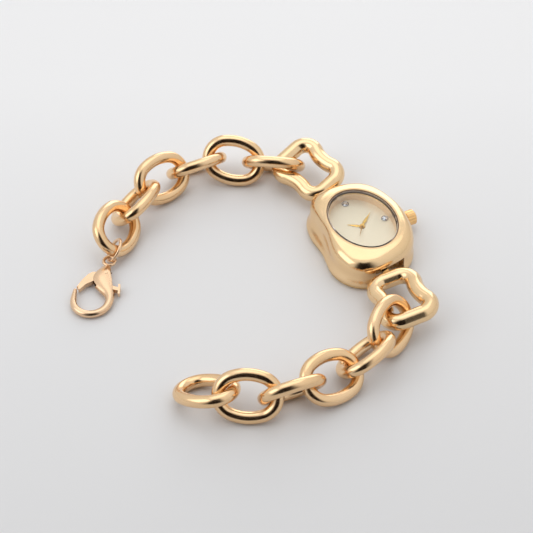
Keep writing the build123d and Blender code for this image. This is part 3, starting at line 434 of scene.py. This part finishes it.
epoxy = mottled("black_epoxy_dropped", "#141414", "#1E1E1F", 0.6, 0, 0.25, 0.45)
dress(epoxy, "timing_chip")
acetal = mottled("acetal_moulded_white", "#EDEBE4", "#E3E0D6", 3, 0, 0.38, 0.5)
dress(acetal, "movement_holder")

# The crown is turned from brass bar and fluted for the fingers, and screws onto the stem. It is
# plated a shade more orange than the case, and wear has hazed it a little.
crown_gold = plated("orange_gold_plate_turned", "#F7CF96", "#EABB7C", 0.18)
dress(crown_gold, "crown")

# The end links are hourglass rings cast in brass, buffed and plated like the case, each with an
# eye behind its near bar that turns on the spring bar.
dress(case_gold, "upper_end_link", "lower_end_link")

# Twelve cable links follow, six to a side: round brass wire bent to an oval, its ends brazed,
# then barrel polished to a soft mirror and plated. Each hooks through the next and lies as it
# fell on the table.


def laid(place, heading, pitch, roll):
    """Where a piece lies: its middle, and its heading, pitch and roll in degrees."""
    heading, pitch, roll = map(math.radians, (heading, pitch, roll))
    level = Vector((-math.sin(heading), math.cos(heading), 0))
    flat = Vector((math.cos(heading), math.sin(heading), 0))
    ahead = flat * math.cos(pitch) + Vector((0, 0, math.sin(pitch)))
    facing = ahead.cross(level) * math.cos(roll) - level * math.sin(roll)
    lie = Matrix((ahead, facing.cross(ahead), facing)).transposed().to_4x4()
    lie.translation = place
    return lie


link_gold = plated("pale_gold_plate_barrel_polished", "#F8D7AE", "#EEC592", 0.17)
# An end bow's centre and radius and half its turn, then a side's, which is a flatter arc. Metres
# and radians.
sizes = {
    "Bow reach": 0.00206,
    "Bow radius": 0.0045,
    "Bow turn": math.radians(70.2),
    "Side drop": 0.005714,
    "Side radius": 0.010574,
    "Wire": 0.00144,
}
oval, given = pattern("oval_link", {**dict.fromkeys(sizes, "Float"), "Finish": "Material"})
twice = {0: given["Bow turn"], 1: 2.0}
wide = add(oval, "ShaderNodeMath", twice, operation="MULTIPLY").outputs[0]
back = {0: 0.0, 1: given["Bow turn"]}
start = add(oval, "ShaderNodeMath", back, operation="SUBTRACT").outputs[0]
remainder = {0: math.pi, 1: wide}
rest = add(oval, "ShaderNodeMath", remainder, operation="SUBTRACT").outputs[0]
bow = {"Resolution": 96, "Radius": given["Bow radius"]}
bow |= {"Start Angle": start, "Sweep Angle": wide}
side = {"Resolution": 40, "Radius": given["Side radius"]}
side |= {"Start Angle": given["Bow turn"], "Sweep Angle": rest}
shift = add(oval, "ShaderNodeCombineXYZ", {"X": given["Bow reach"]}).outputs[0]
below = {0: 0.0, 1: given["Side drop"]}
sink = add(oval, "ShaderNodeMath", below, operation="SUBTRACT").outputs[0]
drop = add(oval, "ShaderNodeCombineXYZ", {"Y": sink}).outputs[0]
arcs = add(oval, "GeometryNodeJoinGeometry")
for arc, move in ((bow, shift), (side, drop)):
    bent = add(oval, "GeometryNodeCurveArc", arc, mode="RADIUS").outputs[0]
    first = {"Geometry": bent, "Translation": move}
    moved = add(oval, "GeometryNodeTransform", first).outputs[0]
    second = {"Geometry": moved, "Rotation": (0, 0, math.pi)}
    turned = add(oval, "GeometryNodeTransform", second).outputs[0]
    for curve in (moved, turned):
        oval.links.new(curve, arcs.inputs[0])
edges = add(oval, "GeometryNodeCurveToMesh", {"Curve": arcs.outputs[0]}).outputs[0]
ends = {"Geometry": edges, "Distance": 2e-5}
brazed = add(oval, "GeometryNodeMergeByDistance", ends).outputs[0]
closed = add(oval, "GeometryNodeMeshToCurve", {"Mesh": brazed}).outputs[0]
section = {"Resolution": 40, "Radius": given["Wire"]}
rod = add(oval, "GeometryNodeCurvePrimitiveCircle", section).outputs[0]
swept = {"Curve": closed, "Profile Curve": rod}
tube = add(oval, "GeometryNodeCurveToMesh", swept).outputs[0]
smooth = add(oval, "GeometryNodeSetShadeSmooth", {"Geometry": tube}).outputs[0]
solid = add(oval, "GeometryNodeRealizeInstances", {0: smooth}).outputs[0]
painted = {0: solid, "Material": given["Finish"]}
finished = add(oval, "GeometryNodeSetMaterial", painted).outputs[0]
add(oval, "NodeGroupOutput", {0: finished})
plain_link = grown(oval, "oval_link_mesh", {**sizes, "Finish": link_gold})
# Heading, pitch and roll in degrees, from the case outwards
lies = {
    "upper": [
        (152.4, 4.2, 47.9),
        (144.7, 10.2, -51.2),
        (178.8, -2.0, 44.2),
        (194.6, 3.9, -55.9),
        (217.1, -1.6, 39.7),
        (224.1, 3.1, -44.4),
    ],
    "lower": [
        (-145.0, -1.8, -52.7),
        (-161.2, -6.7, 39.6),
        (-173.0, 7.0, -33.9),
        (-183.1, 2.3, 59.8),
        (-209.9, 0.0, -53.9),
        (-233.6, -20.9, 15.7),
    ],
}
for arm, turns in lies.items():
    for count, angles in enumerate(turns, 1):
        node = f"{arm}_link_{count}"
        low, high = map(Vector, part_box(node))
        mesh = plain_link.copy()
        mesh.transform(laid((low + high) / 2, *angles))
        link = put(f"{node}_wire", mesh)
        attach(link, node)
        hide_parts(node)

# The jump ring and the lobster claw close the bracelet. The claw is die-cast as one eye, shoulder
# and hook, tumbled smooth and plated a pinker gold, and its shoulder is slotted for the gate.


def slab(label, outline, half_thickness):
    """A flat-sided body from an outline in shares of the clasp's length."""
    shape = bmesh.new()
    flat = [(x * clasp_length, y * clasp_length) for x, y in outline]
    rims = [
        [shape.verts.new((*spot, side * half_thickness)) for spot in flat]
        for side in (-1, 1)
    ]
    for rim in rims:
        shape.faces.new(rim)
    wall(shape, *rims)
    return put(label, finished_mesh(label, shape))


def shaped(label, first, tools, bevel):
    """A clasp part: one body with others joined to it or cut from it, cleaned and laid."""
    spent = [first]
    for mode, tool in tools:
        step = first.modifiers.new(mode.lower(), "BOOLEAN")
        step.operation, step.solver, step.object = mode, "EXACT", tool
        spent.append(tool)
    if bevel:
        edge = first.modifiers.new("edge", "BEVEL")
        edge.width, edge.segments, edge.angle_limit = bevel, 3, math.radians(35)
    bpy.context.view_layer.update()
    view = bpy.context.evaluated_depsgraph_get()
    mesh = bpy.data.meshes.new_from_object(first.evaluated_get(view), depsgraph=view)
    for used in spent:
        bpy.data.objects.remove(used)
    # Joining leaves points that all but meet, and pairs of faces folded onto each other.
    clean, too_near = bmesh.new(), 2e-6
    clean.from_mesh(mesh)
    bmesh.ops.remove_doubles(clean, verts=clean.verts, dist=too_near)
    bmesh.ops.triangulate(clean, faces=clean.faces)
    bmesh.ops.dissolve_degenerate(clean, edges=clean.edges, dist=too_near)
    folded = {}
    for face in clean.faces:
        folded.setdefault(frozenset(face.verts), []).append(face)
    strays = [face for pair in folded.values() if len(pair) > 1 for face in pair]
    bmesh.ops.delete(clean, geom=strays, context="FACES")
    clean.to_mesh(mesh)
    clean.free()
    mesh.transform(laid(clasp_eye, *clasp_lie))
    mesh.shade_smooth()
    mesh.set_sharp_from_angle(angle=math.radians(38))
    mesh.materials.clear()
    mesh.materials.append(clasp_gold)
    mesh.name = label
    return put(label, mesh)


clasp_gold = plated("rose_gold_plate_tumbled", "#F3D3B0", "#E8C29C", 0.22)
dress(clasp_gold, "jump_ring", "clasp_pin")
clasp_length, eye_radius, eye_wire, slot_depth = 0.01875, 0.00138, 0.00038, 0.0007
clasp_eye, clasp_lie = (-0.05777, 0.019766, 0.001475), (228.7, -1.84, 0)
# Place along and across, heading in degrees, half width and half thickness: all but the heading
# are shares of the clasp's length
spine = [
    (0.07, 0.002, 2, 0.042, 0.024),
    (0.12, 0.003, 4, 0.054, 0.042),
    (0.19, 0.006, 5, 0.1, 0.063),
    (0.27, 0.008, 8, 0.14, 0.068),
    (0.345, 0.026, 16, 0.16, 0.068),
    (0.42, 0.085, 34, 0.13, 0.064),
    (0.5, 0.16, 36, 0.088, 0.058),
    (0.565, 0.202, 24, 0.063, 0.053),
    (0.64, 0.226, 6, 0.054, 0.05),
    (0.725, 0.226, -11, 0.053, 0.049),
    (0.807, 0.199, -29, 0.053, 0.049),
    (0.878, 0.131, -53, 0.053, 0.049),
    (0.918, 0.04, -80, 0.053, 0.049),
    (0.913, -0.062, -108, 0.052, 0.049),
    (0.858, -0.157, -137, 0.049, 0.048),
    (0.771, -0.213, -160, 0.043, 0.045),
    (0.683, -0.231, -168, 0.037, 0.04),
    (0.611, -0.247, -168, 0.029, 0.034),
    (0.555, -0.259, -168, 0.021, 0.027),
]
loop_points = 12
shape = bmesh.new()
loops = []
for x, y, turn, half_width, half_thickness in spine:
    turn = math.radians(turn)
    across = Vector((-math.sin(turn), math.cos(turn), 0)) * half_width
    loop = []
    for count in range(loop_points):
        a = math.tau * count / loop_points
        point = Vector((x, y, half_thickness * math.sin(a))) + across * math.cos(a)
        loop.append(shape.verts.new(point * clasp_length))
    loops.append(loop)
for lower, upper in zip(loops, loops[1:]):
    wall(shape, lower, upper)
for end in (loops[0], loops[-1]):
    shape.faces.new(end)
hook = put("claw", finished_mesh("claw", shape))
rounding = hook.modifiers.new("rounding", "SUBSURF")
rounding.levels = rounding.render_levels = 3
bpy.ops.mesh.primitive_torus_add(
    major_segments=96,
    minor_segments=32,
    major_radius=eye_radius,
    minor_radius=eye_wire,
)
eye = bpy.context.object
pocket = [(0.176, -0.267), (0.176, 0.203), (0.245, 0.4), (0.533, 0.4), (0.533, 0.267)]
pocket += [(0.4, 0.11), (0.47, -0.02), (0.545, -0.165), (0.545, -0.299)]
cuts = [("UNION", eye), ("DIFFERENCE", slab("pocket", pocket, slot_depth))]
claw = shaped("cast_claw", hook, cuts, 0)
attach(claw, "clasp")
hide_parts("clasp_body")

# The gate is a lever stamped from brass and plated with the claw, on a pin through the shoulder.
# Its nose closes the hook from inside, and a small T-shaped tab for the thumbnail stands out on
# the far side.
gate_depth, gate_bevel = 0.00058, 0.00012
nose = [(0.224, -0.03), (0.254, -0.135), (0.306, -0.176), (0.408, -0.216), (0.54, -0.243)]
nose += [(0.54, -0.222), (0.575, -0.212), (0.575, -0.193), (0.473, -0.15), (0.399, -0.078)]
nose += [(0.309, 0.016), (0.31, 0.08), (0.24, 0.043), (0.195, 0.015)]
tab = [(0.22, 0.07), (0.36, 0.15), (0.41, 0.19), (0.418, 0.262), (0.365, 0.248), (0.36, 0.274)]
tab += [(0.512, 0.318), (0.519, 0.292), (0.468, 0.277), (0.47, 0.215), (0.3, 0.03)]
pin_place, boss_radius, boss_points = (0.24, 0.043), 0.053, 32
turns = [math.tau * count / boss_points for count in range(boss_points)]
round_pin = [(boss_radius * math.cos(a), boss_radius * math.sin(a)) for a in turns]
boss = [(pin_place[0] + x, pin_place[1] + y) for x, y in round_pin]
joined = [("UNION", slab("tab", tab, gate_depth)), ("UNION", slab("boss", boss, gate_depth))]
gate = shaped("stamped_gate", slab("nose", nose, gate_depth), joined, gate_bevel)
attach(gate, "clasp_lever")
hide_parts("clasp_lever")

# The floor is a sweep of matt paper to photograph on. It isn't part of the object. Its colour is
# painted darker towards the camera's side, as painted shade where the lamps' light falls off.
made, tree, place = finish_of("white_paper_painted_falloff")
front = Vector((-0.438, -0.899, 0))
# Metres away from the front, and a fibre's size in millimetres, coarse enough to show
painted_shade_edge, painted_light_edge, fibre = -0.1, 0.06, 2
depth = {0: place, 1: -front}
back = add(tree, "ShaderNodeVectorMath", depth, operation="DOT_PRODUCT").outputs["Value"]
# Painted shade: the paper's colour darkens towards the front, as the lamps' light would there
fall = {"Value": back, "From Min": painted_shade_edge, "From Max": painted_light_edge}
tint = {
    "Factor": add(tree, "ShaderNodeMapRange", fall).outputs["Result"],
    tint_from: linear("#DEDEDF"),
    tint_to: linear("#F3F3F4"),
}
pulp = {"Vector": place, "Scale": 1000 / fibre, "Detail": 4}
fibres = add(tree, "ShaderNodeTexNoise", pulp).outputs["Fac"]
dull = {"Value": fibres, "From Min": 0.3, "From Max": 0.7, "To Min": 0.5, "To Max": 0.6}
look = {
    "Base Color": add(tree, "ShaderNodeMix", tint, data_type="RGBA").outputs[tinted],
    "Roughness": add(tree, "ShaderNodeMapRange", dull).outputs["Result"],
}
shader = add(tree, "ShaderNodeBsdfPrincipled", look)
add(tree, "ShaderNodeOutputMaterial", {"Surface": shader.outputs[0]})
bpy.ops.mesh.primitive_plane_add(size=6)
floor = bpy.context.object
floor.name = "paper_floor"
floor.data.materials.append(made)

# A white cloth tent lights the watch from all round, with three softboxes outside it. On the
# front it is open to the dark room, which the polished gold mirrors as soft brown patches.
room = bpy.data.worlds.new("white_tent")
bpy.context.scene.world = room
room.use_nodes = True
tree = room.node_tree
tree.nodes.clear()
# The opening's darkness begins and is whole at these cosines of the angle from the front, 47 and
# 22 degrees, and at these sines of the height, 76 and 68 degrees.
side_edge, side_whole, top_edge, top_whole = 0.68, 0.93, 0.97, 0.93
direction = add(tree, "ShaderNodeTexCoord").outputs["Generated"]
up = add(tree, "ShaderNodeSeparateXYZ", {0: direction}).outputs["Z"]
spread = {0: direction, 1: (1, 1, 0)}
flat = add(tree, "ShaderNodeVectorMath", spread, operation="MULTIPLY").outputs[0]
level = add(tree, "ShaderNodeVectorMath", {0: flat}, operation="NORMALIZE").outputs[0]
ahead = {0: level, 1: front}
facing = add(tree, "ShaderNodeVectorMath", ahead, operation="DOT_PRODUCT").outputs["Value"]
sides = {"Value": facing, "From Min": side_edge, "From Max": side_whole}
across = add(tree, "ShaderNodeMapRange", sides, interpolation_type="SMOOTHSTEP").outputs[0]
lid = {"Value": up, "From Min": top_edge, "From Max": top_whole}
under = add(tree, "ShaderNodeMapRange", lid, interpolation_type="SMOOTHSTEP").outputs[0]
within = {0: across, 1: under}
opening = add(tree, "ShaderNodeMath", within, operation="MULTIPLY").outputs[0]
glow = {"Factor": up, tint_from: linear("#DCDCDC"), tint_to: linear("#FFFFFF")}
cloth = add(tree, "ShaderNodeMix", glow, data_type="RGBA").outputs[tinted]
mouth = {"Factor": opening, tint_from: cloth, tint_to: linear("#1C1410")}
seen = add(tree, "ShaderNodeMix", mouth, data_type="RGBA").outputs[tinted]
around = add(tree, "ShaderNodeBackground", {"Color": seen, "Strength": 0.95})
add(tree, "ShaderNodeOutputWorld", {"Surface": around.outputs[0]})
watch_middle = Vector((-0.02, 0, 0))
# Place and size in metres, and power in watts
softboxes = {
    "top_softbox": ((0.1, 0.26, 0.72), 0.6, 0.65),
    "back_softbox": ((0.42, 0.62, 0.24), 0.5, 1.0),
    "side_softbox": ((-0.6, 0.1, 0.5), 0.5, 0.8),
}
for name, (spot, size, watts) in softboxes.items():
    lamp = bpy.data.lights.new(name, "AREA")
    lamp.shape, lamp.size, lamp.energy = "SQUARE", size, watts
    holder = put(name, lamp)
    holder.location = spot
    beam = watch_middle - Vector(spot)
    holder.rotation_euler = beam.to_track_quat("-Z", "Y").to_euler()
    holder.visible_camera = False

# The camera stands where the photograph's did, 376 mm from the table and 46 degrees up, with a
# long lens, so that the case and chain keep their shapes.
lens = bpy.data.cameras.new("camera")
lens.lens, lens.sensor_width, lens.clip_start = 105.98, 36, 0.01
camera = put("camera", lens)
aim = Vector((-0.02414, 0.00294, 0))
heading, height, reach = math.radians(26), math.radians(46.05), 0.37628
level = Vector((math.sin(heading), math.cos(heading), 0))
toward = level * math.cos(height) - Vector((0, 0, math.sin(height)))
camera.location = aim - toward * reach
camera.rotation_euler = toward.to_track_quat("-Z", "Y").to_euler()
bpy.context.scene.camera = camera
bpy.context.scene.view_settings.view_transform = "Standard"
